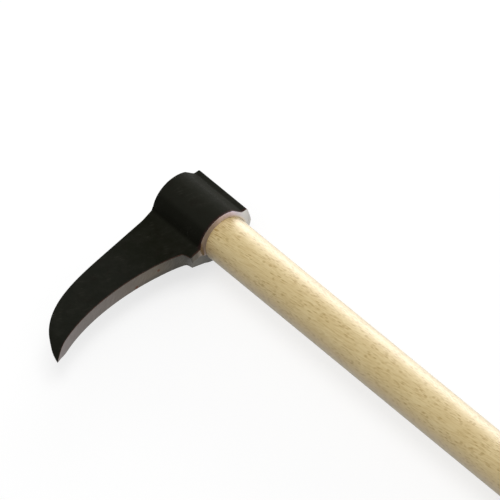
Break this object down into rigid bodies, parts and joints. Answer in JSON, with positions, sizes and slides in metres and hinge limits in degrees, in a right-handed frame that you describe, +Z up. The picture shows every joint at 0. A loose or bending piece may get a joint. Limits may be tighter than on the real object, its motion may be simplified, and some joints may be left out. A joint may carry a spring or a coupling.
{
  "type": "pickaroon",
  "caption": "Pickaroon: a curved, tapering forged spike with a round eye and a squared poll, wedged on a straight round wooden handle, for turning and dragging logs.",
  "frame": {"origin": "on the handle's axis, in the ground lower face of the eye, where the handle leaves it", "axes": "+X the way the beak reaches, +Y along the handle to its free end, +Z up with the tool lying on its side"},
  "size_m": [0.1965, 0.914, 0.05],
  "materials": {
    "black_lacquered_steel": "satin",
    "beech": "satin",
    "wedge_wood": "matte",
    "wedge_steel": "satin"
  },
  "bodies": {
    "root": {"head": "black_lacquered_steel", "handle": "beech", "wood_wedge": "wedge_wood", "steel_wedges": "wedge_steel"}
  },
  "joints": []
}
